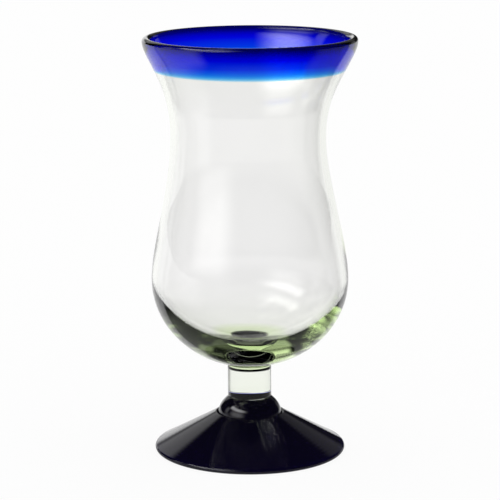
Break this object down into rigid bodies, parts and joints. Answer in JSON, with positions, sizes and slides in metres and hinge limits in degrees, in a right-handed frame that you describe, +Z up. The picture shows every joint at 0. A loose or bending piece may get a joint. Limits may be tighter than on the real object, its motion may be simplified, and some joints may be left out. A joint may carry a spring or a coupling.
{
  "type": "hurricane glass",
  "caption": "Footed hurricane glass for tall drinks: pear-shaped clear bowl with a waist and flared cobalt lip, on a short clear stem, a cobalt bead and a conical cobalt foot.",
  "frame": {"origin": "on the table, at the centre of the ring that the foot stands on", "axes": "+Z up along the axis that every piece is turned about; X and Y lie in the table, and the front of the picture looks along +Y"},
  "size_m": [0.1014, 0.1014, 0.2],
  "materials": {
    "cobalt_rim": "fire-polished cobalt glass, fading to clear at its lower edge",
    "clear_bowl": "fire-polished clear blown glass with a faint green cast and a few seeds",
    "clear_stem": "fire-polished clear glass with a faint green cast",
    "cobalt_knop": "fire-polished deep cobalt glass, almost black where it is thick",
    "cobalt_foot": "fire-polished deep cobalt glass, almost black where it is thick"
  },
  "bodies": {
    "root": {"rim_wrap": "cobalt_rim", "bowl": "clear_bowl", "stem": "clear_stem", "knop": "cobalt_knop", "foot": "cobalt_foot"}
  },
  "joints": []
}
